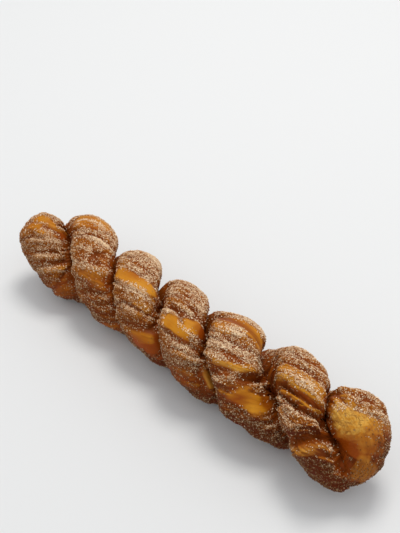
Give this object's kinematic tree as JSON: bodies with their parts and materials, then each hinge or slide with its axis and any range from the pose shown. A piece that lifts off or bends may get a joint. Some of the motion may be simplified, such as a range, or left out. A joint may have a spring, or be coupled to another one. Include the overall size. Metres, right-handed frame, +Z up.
{
  "type": "sugar twist",
  "caption": "Long twisted doughnut: a rope of dough folded in half and wound round itself, rolled into a ball at one end and coated in sugar.",
  "frame": {"origin": "centre of the twist's bounding box, on the surface that it lies on", "axes": "+X along the twist from the pinched tips to the ball, +Y towards its back, +Z up"},
  "size_m": [0.2966, 0.0612, 0.0573],
  "materials": {
    "dough": "fried amber crust, soft sheen where bare, frosted with sugar",
    "sugar": "clear to white granulated sugar, sparkling"
  },
  "bodies": {
    "root": {"dough": "dough"}
  },
  "joints": []
}
